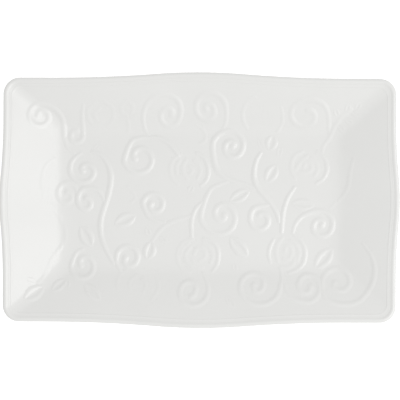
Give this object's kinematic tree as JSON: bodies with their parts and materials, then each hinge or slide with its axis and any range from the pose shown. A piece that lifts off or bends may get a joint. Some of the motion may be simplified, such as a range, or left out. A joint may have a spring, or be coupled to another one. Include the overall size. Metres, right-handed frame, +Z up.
{
  "type": "serving platter",
  "caption": "Rectangular white porcelain serving platter with a gently swelling edge, beaded rim, sloping walls, flat well, foot ring, and scrolls, roses and leaves in low relief.",
  "frame": {"origin": "on the resting plane, under the middle of the platter", "axes": "+X along the long side, +Y across the platter, +Z up out of the well"},
  "size_m": [0.36, 0.23, 0.026],
  "materials": {
    "glazed_porcelain": "clear glossy glaze over white porcelain",
    "bare_porcelain": "unglazed, ground smooth where it rests"
  },
  "bodies": {
    "root": {"body": "glazed_porcelain", "rim_bead": "glazed_porcelain", "rim_ridge": "glazed_porcelain", "foot_ring": "bare_porcelain", "bud_left": "glazed_porcelain", "bud_right": "glazed_porcelain", "flower_top_wall": "glazed_porcelain", "leaves_bottom_left_corner": "glazed_porcelain", "leaves_bottom_wall": "glazed_porcelain", "leaves_centre": "glazed_porcelain", "leaves_left": "glazed_porcelain", "leaves_right": "glazed_porcelain", "leaves_top_right_corner": "glazed_porcelain", "rose_bottom_wall": "glazed_porcelain", "rose_centre": "glazed_porcelain", "rose_lower_right": "glazed_porcelain", "rose_top_wall": "glazed_porcelain", "rose_upper_middle": "glazed_porcelain", "rose_upper_right": "glazed_porcelain", "scroll_bottom_wall_left": "glazed_porcelain", "scroll_bottom_wall_middle": "glazed_porcelain", "scroll_bottom_wall_right": "glazed_porcelain", "scroll_centre": "glazed_porcelain", "scroll_centre_left": "glazed_porcelain", "scroll_centre_right": "glazed_porcelain", "scroll_corner_bottom_right": "glazed_porcelain", "scroll_corner_top_left": "glazed_porcelain", "scroll_left_inner": "glazed_porcelain", "scroll_left_lower": "glazed_porcelain", "scroll_left_middle": "glazed_porcelain", "scroll_left_upper": "glazed_porcelain", "scroll_right": "glazed_porcelain", "scroll_top_left": "glazed_porcelain", "scroll_top_wall_left": "glazed_porcelain", "scroll_top_wall_middle": "glazed_porcelain", "scroll_top_wall_right": "glazed_porcelain", "scroll_upper_centre": "glazed_porcelain", "scroll_upper_left": "glazed_porcelain", "scroll_vine_end": "glazed_porcelain", "stem_bud_left": "glazed_porcelain", "stem_rose_centre": "glazed_porcelain", "stem_rose_lower_right": "glazed_porcelain", "tendrils": "glazed_porcelain", "vine_left": "glazed_porcelain", "vine_left_wall": "glazed_porcelain", "vine_right": "glazed_porcelain", "vine_right_wall": "glazed_porcelain", "vine_top_right": "glazed_porcelain", "vine_upper": "glazed_porcelain"}
  },
  "joints": []
}
